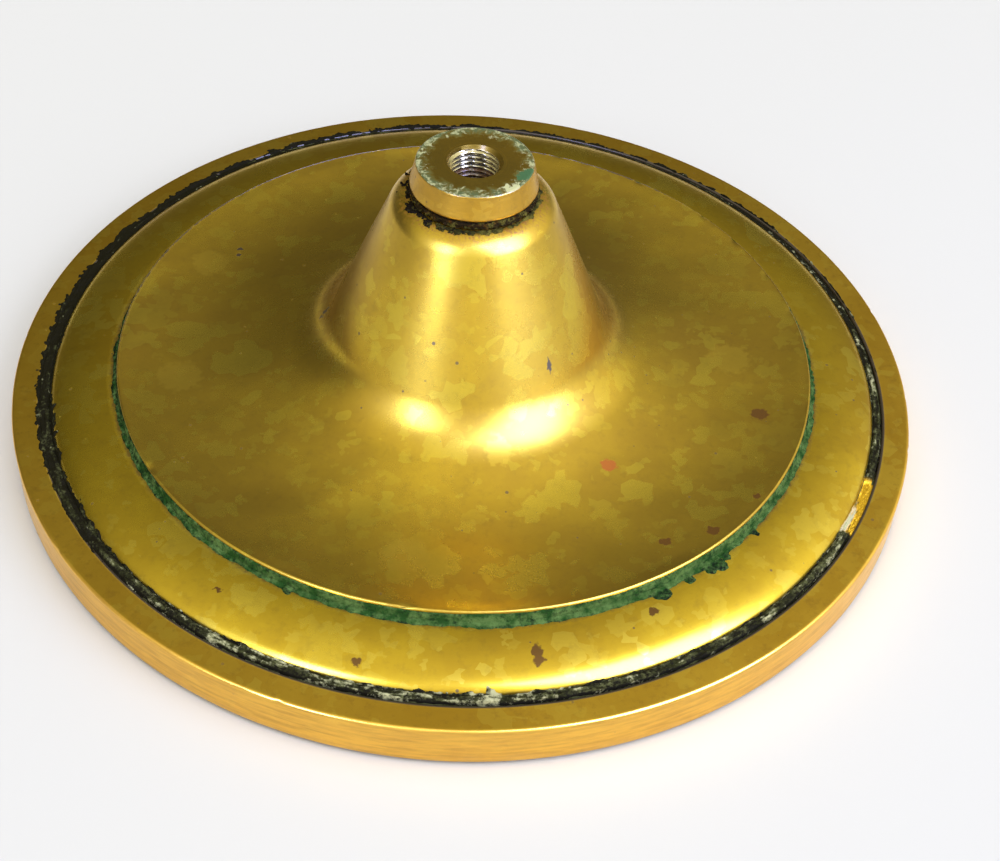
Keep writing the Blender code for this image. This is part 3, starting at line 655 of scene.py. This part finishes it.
def buildCollar():
    look = collarLook
    low, high = boxMm("collar_bush")
    bottomRadius, top, bottom = high[0], high[2], low[2]
    topRadius, head = bottomRadius - look["taper"], top - look["headHeight"]
    spigot, bore = look["spigot"], look["bore"]
    borePoints = straightLine((bore, bottom), (bore, top - 0.75), 240)
    spigotPoints = straightLine((spigot, head - 0.1), (spigot, bottom + 0.5), 120)
    profile = outline(
        straightLine((bore + 0.75, top), (topRadius - 0.5, top), 16),
        arcLine((topRadius - 0.5, top - 0.45), (0.5, 0.45), 90, 10, 7),
        straightLine((topRadius, top - 0.5), (bottomRadius, head + 0.55), 14),
        arcLine((bottomRadius - 0.5, head + 0.5), (0.5, 0.5), 0, -90, 6),
        (spigot, head),
        spigotPoints,
        (spigot - 0.5, bottom),
        borePoints,
    )
    grid, angles = turnedGrid(profile, look["columns"])
    radius, height = profile[:, :1], profile[:, 1:]
    onSpigot = (np.abs(radius - spigot) < 1e-3) & (height < head - 1)
    inBore = np.abs(radius - bore) < 1e-3
    fade = smoothStep(bottom + 0.4, bottom + 1.6, height) * smoothStep(head - 1.0, head - 2.2, height)
    spigotThread = threadWave(height, angles, look["spigotPitch"]) * onSpigot * fade
    grid = pushOut(grid, angles, -look["spigotDepth"] * spigotThread)
    grid = pushOut(grid, angles, look["boreDepth"] * threadWave(height, angles, look["borePitch"]) * inBore)
    worn = 0.05 * roughNoise(grid, 3.0, 31, 2) * smoothStep(9, 11, radius) * (height > head)
    grid = pushOut(grid, angles, worn)
    piece = meshFromGrid("collarBush", grid)
    finish = agedBrass("turnedCollarBrass", look)
    tree, place = finish["tree"], finish["place"]
    # The top face has gone olive, with green and white salts thickest round its edge.
    onTop = addNode(tree, "MapRange", {"Value": finish["heightMm"],
                                       "From Min": top - 0.35, "From Max": top - 0.1})
    outOfBore = addNode(tree, "MapRange", {"Value": finish["radius"],
                                           "From Min": bore + 0.7, "From Max": bore + 1.4})
    onTop = addNode(tree, "Math", {0: onTop, 1: outOfBore}, operation="MULTIPLY")
    onChamfer = addNode(tree, "MapRange", {"Value": finish["heightMm"],
                                           "From Min": top - 0.85, "From Max": top - 0.65})
    nearBore = addNode(tree, "MapRange", {"Value": finish["radius"],
                                          "From Min": bore + 1.5, "From Max": bore + 1.2})
    onChamfer = addNode(tree, "Math", {0: onChamfer, 1: nearBore}, operation="MULTIPLY")
    onTop = addNode(tree, "Math", {0: onTop, 1: onChamfer}, operation="MAXIMUM")
    olive = addNode(tree, "Math", {0: onTop, 1: 0.75}, operation="MULTIPLY")
    layFilm(finish, olive, colour(look["topTone"]), 0.7, 0.4)
    ragged = addNode(tree, "TexNoise", {"Vector": place, "Scale": 1 / 2.2, "Detail": 6.0, "Roughness": 0.72})
    ring = addNode(tree, "MapRange", {"Value": finish["radius"],
                                      "From Min": topRadius - 4.6, "From Max": topRadius - 0.6})
    ring = addNode(tree, "Math", {0: ring, 1: onTop}, operation="MULTIPLY")
    salts = addNode(tree, "Math", {0: ring, 1: 0.36, 2: ragged}, operation="MULTIPLY_ADD")
    salts = addNode(tree, "MapRange", {"Value": salts, "From Min": 0.66, "From Max": 0.9, "To Max": 0.85})
    salts = addNode(tree, "Math", {0: salts, 1: onTop}, operation="MULTIPLY")
    layFilm(finish, salts, colour(look["verdigris"]), 0.0, 0.85)
    flakes = addNode(tree, "TexNoise", {"Vector": place, "Scale": 1 / 1.2, "Detail": 5.0,
                                        "Roughness": 0.7, "Distortion": 0.6})
    flakes = addNode(tree, "Math", {0: ring, 1: 0.22, 2: flakes}, operation="MULTIPLY_ADD")
    flakes = addNode(tree, "MapRange", {"Value": flakes, "From Min": 0.7, "From Max": 0.8})
    flakes = addNode(tree, "Math", {0: flakes, 1: onTop}, operation="MULTIPLY")
    layFilm(finish, flakes, colour(look["chalk"]), 0.0, 0.9)
    for kind in ("teal", "white"):
        share = spotShare(finish, look[kind + "Spots"], 2.0)
        share = addNode(tree, "Math", {0: share, 1: onTop}, operation="MULTIPLY")
        layFilm(finish, share, colour(look[kind + "Tone"]), 0.0, 0.9)
    inside = addNode(tree, "MapRange", {"Value": finish["radius"],
                                        "From Min": bore + 0.8, "From Max": bore + 0.7})
    belowTop = addNode(tree, "MapRange", {"Value": finish["heightMm"],
                                          "From Min": top - 0.65, "From Max": top - 0.85})
    inside = addNode(tree, "Math", {0: inside, 1: belowTop}, operation="MULTIPLY")
    layFilm(finish, inside, colour(look["boreTone"]), 1.0, 0.25)
    # Grime on the wall of the head just above the joint.
    grimy = raggedBand(finish, finish["heightMm"], (head + 1.6, head), ragged, (0.3, 0.5))
    layFilm(finish, grimy, colour(look["darkBand"]), 0.4, 0.6)
    finishPiece(piece, closeFinish(finish, 0.04, 0.4), "collar_brass", "collar", "collar_bush")


packingLook = {
    "columns": 480, "inner": 8.3, "crumble": 0.45,
    "gloss": 0.05, "tone": "#261c06", "dust": "#6c6834", "rust": "#664210",
}


def buildPacking():
    look = packingLook
    low, high = boxMm("neck_washer")
    outer, bottom, top = high[0] - look["crumble"], low[2], high[2]
    profile = outline(
        straightLine((look["inner"], top), (outer, top), 12),
        arcLine((outer, (top + bottom) / 2), (0.12, (top - bottom) / 2), 90, -90, 11),
        straightLine((outer, bottom), (look["inner"], bottom), 12),
    )
    grid, angles = turnedGrid(profile, look["columns"])
    side = smoothStep(outer - 1.2, outer, profile[:, 0])[:, None]
    grid = pushOut(grid, angles, look["crumble"] * np.clip(roughNoise(grid, 0.9, 41), -1, 1) * side)
    outward = np.sign(grid[..., 2] - (top + bottom) / 2)
    grid[..., 2] -= 0.12 * outward * np.abs(roughNoise(grid, 1.2, 43)) * side
    piece = meshFromGrid("neckPacking", grid, 50)
    # Vulcanised fibre, perished: black, matt and crumbling, with green and rusty dust on it.
    finish = startFinish("perishedFibre", colour(look["tone"]), 0.0, 0.92)
    tree, place = finish["tree"], finish["place"]
    for size, tone, start in ((1.5, look["dust"], 0.5), (2.3, look["rust"], 0.56)):
        layFilm(finish, patchShare(finish, size, 5.0, 0.7, start, start + 0.14), colour(tone))
    finish["height"] = addNode(tree, "TexNoise", {"Vector": place, "Scale": 2.5, "Detail": 4.0})
    material = closeFinish(finish, 0.3)
    tree.nodes["Principled BSDF"].inputs["Specular IOR Level"].default_value = look["gloss"]
    finishPiece(piece, material, "fibre", "washer", "neck_washer")


feltLook = {"columns": 360, "edge": 0.5, "tone": "#234c33", "worn": "#5b6a4a", "fibre": 0.35}


def buildFelt():
    look = feltLook
    low, high = boxMm("felt_pad")
    radius, top, bottom = high[0], high[2], low[2]
    edge = look["edge"]
    profile = outline(
        straightLine((0.4, top), (radius - edge, top), 40),
        arcLine((radius - edge, top - edge), (edge, edge), 90, 0, 5),
        arcLine((radius - edge, bottom + edge), (edge, edge), 0, -90, 5),
        straightLine((radius - edge, bottom), (0.4, bottom), 60),
    )
    grid, angles = turnedGrid(profile, look["columns"])
    side = smoothStep(radius - 1, radius, profile[:, 0])[:, None]
    grid = pushOut(grid, angles, -0.25 * np.abs(roughNoise(grid, 2.0, 51)) * side)
    under = (profile[:, 1] < bottom + 0.01)[:, None]
    grid[..., 2] += 0.06 * np.abs(roughNoise(grid, 6.0, 53)) * under
    piece = meshFromGrid("feltPad", grid, 50, ring=False)
    # Pressed wool felt: short fibres lie every way and the face is paler where it has rubbed.
    finish = startFinish("pressedFelt", colour(look["tone"]), 0.0, 0.97)
    tree, place = finish["tree"], finish["place"]
    fibres = addNode(tree, "TexNoise", {"Vector": place, "Scale": 1 / look["fibre"], "Detail": 3.0,
                                        "Distortion": 2.5})
    share = addNode(tree, "MapRange", {"Value": fibres, "From Min": 0.4, "From Max": 0.75, "To Max": 0.4})
    layFilm(finish, share, colour(look["worn"]))
    layFilm(finish, patchShare(finish, 22, 4.0, 0.5, 0.5, 0.75, 0.5), colour(look["worn"]))
    finish["height"] = fibres
    material = closeFinish(finish, 0.15)
    tree.nodes["Principled BSDF"].inputs["Sheen Weight"].default_value = 0.3
    finishPiece(piece, material, "felt", "base", "felt_pad")


outerSeamLook = {
    "gloss": 0.05,
    "columns": 1300,
    "green": "#2c2f15", "light": "#5c6044", "black": "#171503", "white": "#b5b7a2",
    # (degrees, value): 270 is the front, 0 the right, 90 the back and 180 the left
    "spillIn": [(0, 0.15), (60, 0.0), (120, 0.1), (150, 0.3), (180, 0.7), (205, 0.7), (235, 0.35),
                (270, 0.45), (300, 0.35), (330, 0.3), (345, 0.2)],
    "spillOut": [(0, 0.2), (30, 0.5), (60, 0.75), (120, 0.8), (150, 0.75), (175, 0.8), (205, 0.5),
                 (235, 0.1), (270, -0.2), (330, -0.2), (345, 0.0)],
    "body": [(0, 0.0), (40, -0.3), (60, -0.5), (120, -0.35), (150, -0.05), (180, 0.15), (215, 0.15),
             (240, 0.25), (330, 0.25), (350, 0.15)],
    "gap": [(0, 0.8), (60, 0.3), (120, 0.1), (150, 0.0), (212, 0.0), (235, 0.6), (262, 1.0),
            (330, 1.0), (350, 0.7)],
    "pale": [(0, 0.25), (30, 0.3), (45, 0.15), (60, 0.0), (180, 0.0), (205, 0.05), (222, 0.05),
             (234, 0.36), (250, 0.3), (262, 0.4), (275, 0.4), (290, 0.25), (320, 0.28), (342, 0.2)],
    "dark": [(0, 0.45), (60, 0.8), (90, 1.0), (160, 0.95), (200, 0.7), (225, 0.55), (235, 0.42),
             (300, 0.38), (325, 0.38), (345, 0.5)],
    "bare": (332.5, 342.5),       # stretch where the crust has fallen out and left clean brass
    "dry": (331.0, 338.5),        # stretch with a thin pale flaky deposit
    "lumps": [(-83.3, 83.1, 1.9), (-86.2, 82.7, 1.3)],       # (degrees, radius, size)
    # (degrees, mm past the moulding's foot, size): a chalky place, and one without chalk
    "crusty": (-83.0, 0.6, 2.2), "bald": (-87.0, -0.4, 1.8),
}


def buildOuterSeam():
    look = outerSeamLook
    rimTop = boxMm("foot_ring")[1][2]
    foot, inner = ovoloEnds()[1], boxMm("step_moulding")[1][0] + 0.3
    onMoulding = ovoloArc(42, 3, 18)
    inGroove = straightLine((foot + 0.12, rimTop + 0.02), (inner + 0.1, rimTop - 0.12), 20)
    onRim = straightLine((inner + 0.4, rimTop), (inner + 2.3, rimTop), 14)
    path = outline(onMoulding, inGroove, onRim)
    steps = np.r_[0, np.cumsum(np.hypot(*np.diff(path, axis=0).T))]
    u = (steps - steps[18])[:, None]         # mm across the groove from its inner edge
    width = float(steps[37] - steps[18])
    points, angles = turnedGrid(path, look["columns"])
    turn = np.degrees(angles) % 360
    keys = ("spillIn", "spillOut", "body", "gap", "pale", "dark")
    values = {key: aroundAxis(angles, look[key]) for key in keys}
    ragged = roughNoise(points, 2.6, 61) * 0.6 + roughNoise(points, 0.8, 62, 2) * 0.4
    spiky = smoothStep(150, 185, turn) * smoothStep(228, 205, turn)
    ragged = ragged + spiky * np.abs(softNoise(points, 0.9, 66)) * 0.9
    # Flakes that run along the seam: noise five times as long round the axis as across it.
    streak = np.stack([angles * foot / 3.2 + 0 * u, u / 0.6 + 0 * angles, 0 * points[..., 0]], axis=-1)
    streak = roughNoise(streak, 1.0, 67)
    inside = smoothStep(-0.12, 0.2, u + values["spillIn"] * (1 + ragged) + 0.35 * ragged)
    outside = smoothStep(-0.12, 0.2, width + values["spillOut"] * (1 + ragged) + 0.2 * ragged - u)
    bareStart, bareEnd = look["bare"]
    bare = smoothStep(bareStart - 0.6, bareStart + 0.3, turn + 0.4 * ragged)
    bare = bare * smoothStep(bareEnd + 0.5, bareEnd - 0.3, turn)
    dryStart, dryEnd = look["dry"]
    dry = smoothStep(dryStart, dryStart + 0.8, turn) * smoothStep(dryEnd, dryEnd - 2.5, turn + 1.5 * streak)
    share = inside * outside
    hump = np.exp(-((u - 0.5) / 1.0) ** 2)
    lumps = 0.14 * roughNoise(points, 1.4, 63) + 0.06 * roughNoise(points, 0.5, 64, 2) + 0.12 * streak
    inGap = smoothStep(0, 0.35, u) * smoothStep(width + 0.1, width - 0.2, u)
    body = values["body"] * inGap * (1 - 0.3 * hump) + np.maximum(values["body"], 0) * 0.5 * hump
    lift = -0.14 + share * (0.36 + body + lumps)
    gapShare = smoothStep(width - 0.6 - 0.15 * ragged, width - 0.25, u)
    gapShare = gapShare * smoothStep(width + 0.25, width - 0.05, u)
    lift = lift - values["gap"] * gapShare * (1.2 + 0.3 * ragged)
    # Where the crust has fallen out the groove is filled almost flush and shows brass again.
    lift = lift * (1 - bare) + bare * (-0.14 - 0.1 * inGap)
    crumb = dry * bare * smoothStep(-0.9, -0.3, u + 0.4 * streak) * smoothStep(1.1, 0.5, u + 0.3 * streak)
    lift = lift + crumb * (0.34 + 0.1 * streak)
    lift = lift + 0.3 * blobShare(points, look["lumps"], 0.2, 1.1 * ragged) * (1 + 0.5 * streak)
    piece = crustShell("outerSeamCrust", path, lift, angles)
    edges = 1 - smoothStep(0.0, 0.3, lift)
    crusty, bald = (blobShare(points, [(degrees, foot + past, size)])
                    for degrees, past, size in (look["crusty"], look["bald"]))
    pale = values["pale"] + 0.28 * streak + 0.6 * crumb + 0.35 * crusty - 0.5 * bald
    # Down in the gap the crust is coloured black as well: painted shade on top of the gap's own depth.
    dark = values["dark"] + 0.35 * edges + 0.6 * gapShare * values["gap"]
    dark = dark - 0.25 * streak - 0.9 * crumb - 0.3 * crusty
    for name, share in (("pale", pale), ("dark", dark), ("brass", bare * (1 - crumb))):
        giveShare(piece, name, share)
    finishPiece(piece, verdigrisCrust("seamVerdigris", look), "verdigris", "base")


innerSeamLook = {
    "gloss": 0.05,
    "columns": 1200,
    "green": "#24481c", "light": "#587648", "black": "#0a1503", "white": "#8d9971",
    "reach": [(0, 0.9), (45, 0.75), (70, 0.4), (110, 0.35), (150, 0.45), (165, 0.7), (200, 0.8),
              (240, 1.0), (275, 1.15), (300, 1.2), (330, 0.9)],
    "dark": [(0, 0.2), (45, 0.25), (70, 0.8), (110, 0.95), (150, 0.8), (170, 0.5), (190, 0.42),
             (215, 0.28), (240, 0.15), (300, 0.1), (345, 0.15)],
    # drips that reach out over the moulding: (degrees, radius, size)
    "drips": [(-46.6, 71.6, 1.8), (-48.2, 70.9, 1.8), (-52.2, 71.1, 1.2), (-56.8, 71.1, 1.7),
              (-58.0, 70.8, 1.5), (-113, 70.6, 1.0), (-44.8, 70.8, 1.3), (-38, 70.7, 1.0)],
}


def buildInnerSeam():
    look = innerSeamLook
    lip, crownTop, crown = boxMm("trumpet")[1][0], boxMm("step_moulding")[1][2], ovoloEnds()[0]
    wallTop, corner = crownTop + 2.2, 0.55
    path = outline(
        straightLine((lip + 0.02, wallTop), (lip + 0.02, crownTop + corner), 18),
        arcLine((lip + 0.02 + corner, crownTop + corner), (corner, corner), 180, 270, 9),
        straightLine((lip + 0.1 + corner, crownTop), (crown, crownTop), 10),
        ovoloArc(90, 74, 18),
    )
    points, angles = turnedGrid(path, look["columns"])
    r, z = path[:, :1], path[:, 1:]
    reach, dark = (aroundAxis(angles, look[key]) for key in ("reach", "dark"))
    ragged = roughNoise(points, 2.6, 71) * 0.45 + roughNoise(points, 0.8, 72, 2) * 0.25
    below = smoothStep(-0.1, 0.22, lip + 0.35 + reach + 0.6 * ragged - r)
    above = smoothStep(0.0, 0.3, wallTop - 0.12 - z + 0.25 * ragged)
    full = np.exp(-((r - lip) / 0.9) ** 2) * np.exp(-((z - crownTop - 0.4) / 1.1) ** 2)
    lumps = 0.1 * roughNoise(points, 2.0, 73) + 0.05 * roughNoise(points, 0.6, 74, 2)
    lift = -0.14 + below * above * (0.3 + 0.3 * full * reach + lumps)
    drip = blobShare(points, look["drips"], 0.3, 0.9 * ragged)
    drip = drip * smoothStep(crownTop + 0.9, crownTop + 0.25, z)
    lift = lift + 0.5 * drip * (1 + 0.3 * ragged)
    piece = crustShell("innerSeamCrust", path, lift, angles)
    edge = smoothStep(lip + 0.05 + reach, lip + 0.5 + reach, r + 0.4 * ragged)
    giveShare(piece, "pale", 0.12 * full + 0.15 * ragged)
    highUp = smoothStep(crownTop + 1.4, crownTop + 2.0, z)
    giveShare(piece, "dark", dark + 0.3 * edge - 0.25 * ragged + 0.15 * highUp)
    finishPiece(piece, verdigrisCrust("lipVerdigris", look), "verdigris", "base")


neckCrumbsLook = {
    "gloss": 0.05,
    "columns": 720,
    "green": "#3a3a13", "light": "#6e6933", "black": "#150e03", "white": "#918d59",
    "reach": [(0, 0.5), (60, 0.4), (120, 0.8), (160, 1.7), (200, 1.7), (230, 1.3), (255, 0.8),
              (300, 0.5), (340, 0.8)],
    "dark": [(0, 0.3), (90, 0.6), (160, 0.9), (220, 0.7), (270, 0.3), (320, 0.25)],
}


def buildNeckCrumbs():
    look = neckCrumbsLook
    shape = trumpetShape()
    washer = boxMm("neck_washer")[1][0]
    shoulder = trumpetLook["shoulderRadius"]
    centre = shape["shoulderAt"]
    start = math.degrees(math.acos((washer - 0.3 - centre[0]) / shoulder))
    path = arcLine(centre, (shoulder, shoulder), start, start - 32, 40)
    points, angles = turnedGrid(path, look["columns"])
    r = path[:, :1]
    reach, dark = (aroundAxis(angles, look[key]) for key in ("reach", "dark"))
    ragged = roughNoise(points, 1.3, 81) * 0.6 + roughNoise(points, 0.5, 82, 2) * 0.3
    share = smoothStep(-0.1, 0.25, washer + 0.1 + reach * (0.6 + ragged) - r)
    lift = -0.12 + share * (0.32 + 0.3 * ragged)
    piece = crustShell("neckCrumbs", path, lift, angles, 0.1)
    giveShare(piece, "pale", 0.1 + 0 * lift)
    giveShare(piece, "dark", dark + 0 * lift)
    finishPiece(piece, verdigrisCrust("neckVerdigris", look), "verdigris", "base")


ironLook = {"tone": "#2d2b29", "rust": "#5b3520", "grain": 0.8}
steelLook = {"tone": "#8d8c88", "rust": "#6b4a30", "screw": "#a5a39d", "grain": "#6f6e6a"}


def castIron():
    # Grey cast iron from a sand mould: coarse dark skin with a bloom of rust.
    finish = startFinish("sandCastIron", colour(ironLook["tone"]), 0.6, 0.68)
    tree, place = finish["tree"], finish["place"]
    layFilm(finish, patchShare(finish, 8, 6.0, 0.7, 0.5, 0.66, 0.8), colour(ironLook["rust"]), 0.1, 0.9)
    sand = {"Vector": place, "Scale": 1 / ironLook["grain"], "Detail": 3.0}
    finish["height"] = addNode(tree, "TexNoise", sand)
    return closeFinish(finish, 0.25)


def rolledSteel(name, tone, roughness):
    # Mild steel, cold rolled or turned: grey with a faint grain and a little rust.
    finish = startFinish(name, colour(tone), 1.0, roughness)
    tree, place = finish["tree"], finish["place"]
    stretched = addNode(tree, "VectorMath", {0: place, 1: (0.08, 1.6, 1.6)}, operation="MULTIPLY")
    grain = addNode(tree, "TexNoise", {"Vector": stretched, "Scale": 1.0, "Detail": 3.0})
    share = addNode(tree, "MapRange", {"Value": grain, "From Min": 0.35, "From Max": 0.7, "To Max": 0.25})
    layFilm(finish, share, colour(steelLook["grain"]), roughness=roughness + 0.08)
    layFilm(finish, patchShare(finish, 11, 6.0, 0.7, 0.56, 0.72, 0.7), colour(steelLook["rust"]), 0.2, 0.8)
    finish["height"] = grain
    return closeFinish(finish, 0.02)


def dressCadNodes():
    iron, plate = castIron(), rolledSteel("rolledPlateSteel", steelLook["tone"], 0.42)
    screw = rolledSteel("turnedScrewSteel", steelLook["screw"], 0.32)
    for name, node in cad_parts.items():
        material = {"ballast_ring": iron, "base_plate": plate}.get(name, screw if "_screw_" in name else None)
        for slot in node.material_slots if material else ():
            slot.material = material
    print("dressed the ballast, the plate and the screws")


studio = {
    "floor": "#cbcde0", "floorReach": 6.0, "background": "#eeeeef",
    "darkSide": (118, -24),          # degrees round and up of the room's dark side
    "dim": 0.15, "bright": 1.29,     # brightness of the dark side and of the rest
    "fade": (60, 109),               # degrees from the dark side where the room starts and ends brightening
    "lean": 0.12,                    # how much brighter the room is on the right than in the middle
    "roomTint": "#fffad4",
    # broad glows on the walls: (degrees round, degrees up, brightness, spread)
    "glows": [(325, 38, 0.8, 0.08), (238, 30, 0.2, 0.05)],
    # (name, degrees round, degrees up, width, height, watts, tint, shows in gloss)
    "boxes": [("sideGlow", 323, 40, 0.68, 0.98, 60.0, "#9aa9ff", True),
              ("frontGlow", 239, 28, 0.27, 0.64, 16.0, "#9aa9ff", True),
              ("sideFill", 335, 40, 0.6, 0.6, 2.2, "#f4f7ff", False),
              ("topFill", 200, 80, 0.9, 0.9, 3.6, "#f4f7ff", False)],
}
view = {
    "lens": 60.48, "sensor": 36.0, "elevation": 44.562, "roll": -3.924,
    "right": 0.08762, "up": -0.0655, "distance": 3.8797,      # in outer radii of the foot
}


def wayTo(degrees, rise):
    # the unit vector this far round the axis and this far up
    turn, tilt = math.radians(degrees), math.radians(rise)
    return math.cos(tilt) * math.cos(turn), math.cos(tilt) * math.sin(turn), math.sin(tilt)


def buildStudio():
    look = studio
    mesh, reach = bpy.data.meshes.new("floor"), look["floorReach"]
    corners = [(-reach, -reach, 0), (reach, -reach, 0), (reach, reach, 0), (-reach, reach, 0)]
    mesh.from_pydata(corners, [], [(0, 1, 2, 3)])
    floor = bpy.data.objects.new("floor", mesh)
    bpy.context.scene.collection.objects.link(floor)
    finish = startFinish("paperFloor", colour(look["floor"]), 0.0, 0.95)
    mesh.materials.append(closeFinish(finish, 0.0))

    world = bpy.data.worlds.new("studioRoom")
    world.use_nodes = True
    bpy.context.scene.world = world
    tree = world.node_tree
    shader = tree.nodes["Background"]
    way = addNode(tree, "TexCoord", out="Generated")
    facing = addNode(tree, "VectorMath", {0: way, 1: wayTo(*look["darkSide"])}, operation="DOT_PRODUCT")
    start, end = (math.cos(math.radians(a)) for a in look["fade"])
    share = addNode(tree, "MapRange", {"Value": facing, "From Min": start, "From Max": end,
                                       "To Min": look["dim"], "To Max": look["bright"]},
                    interpolation_type="SMOOTHSTEP")
    lean = addNode(tree, "SeparateXYZ", {0: way})
    lean = addNode(tree, "Math", {0: lean, 1: look["lean"], 2: 1.0}, operation="MULTIPLY_ADD")
    share = addNode(tree, "Math", {0: share, 1: lean}, operation="MULTIPLY")
    # Each glow adds brightness * e^((cos of the angle from its middle - 1) / spread).
    for glowAround, glowUp, strength, spread in look["glows"]:
        middle = wayTo(glowAround, glowUp)
        facing = addNode(tree, "VectorMath", {0: way, 1: middle}, operation="DOT_PRODUCT")
        power = addNode(tree, "Math", {0: facing, 1: 1 / spread, 2: -1 / spread}, operation="MULTIPLY_ADD")
        glow = addNode(tree, "Math", {0: power}, operation="EXPONENT")
        share = addNode(tree, "Math", {0: glow, 1: strength, 2: share}, operation="MULTIPLY_ADD")
    level = addNode(tree, "VectorMath", {0: colour(look["roomTint"])[:3], "Scale": share}, operation="SCALE")
    seen = addNode(tree, "LightPath", out="Is Camera Ray")
    level = addNode(tree, "Mix", {0: seen, 6: level, 7: colour(look["background"])}, data_type="RGBA")
    tree.links.new(level, shader.inputs["Color"])

    for name, degrees, rise, width, height, power, tint, glossy in look["boxes"]:
        light = bpy.data.lights.new(name, "AREA")
        light.shape, light.size, light.size_y, light.energy = "RECTANGLE", width, height, power
        light.color = colour(tint)[:3]
        box = bpy.data.objects.new(name, light)
        bpy.context.scene.collection.objects.link(box)
        box.location = wayTo(degrees, rise)      # a metre from the axis, facing it
        box.rotation_euler = (math.radians(90 - rise), 0, math.radians(degrees + 90))
        box.visible_glossy, box.visible_diffuse = glossy, not glossy
    print("lit the studio")


def buildCamera():
    look = view
    radius = boxMm("foot_ring")[1][0] * mm
    tilt, roll = math.radians(look["elevation"]), math.radians(look["roll"])
    right = np.array([1.0, 0.0, 0.0])
    back = np.array([0.0, -math.cos(tilt), math.sin(tilt)])
    up = np.array([0.0, math.sin(tilt), math.cos(tilt)])
    camera = bpy.data.objects.new("camera", bpy.data.cameras.new("camera"))
    bpy.context.scene.collection.objects.link(camera)
    camera.data.lens, camera.data.sensor_width = look["lens"], look["sensor"]
    camera.data.clip_start = 0.01
    place = (look["right"] * right + look["up"] * up + look["distance"] * back) * radius
    across = math.cos(roll) * right - math.sin(roll) * up
    upward = math.sin(roll) * right + math.cos(roll) * up
    matrix = np.eye(4)
    matrix[:3, 0], matrix[:3, 1], matrix[:3, 2], matrix[:3, 3] = across, upward, back, place
    camera.matrix_world = Matrix(matrix.tolist())
    bpy.context.scene.camera = camera
    bpy.context.scene.view_settings.view_transform = "Standard"


buildStudio()
buildCamera()
buildFootRing()
buildMoulding()
buildTrumpet()
buildCollar()
buildPacking()
buildFelt()
buildOuterSeam()
buildInnerSeam()
buildNeckCrumbs()
dressCadNodes()
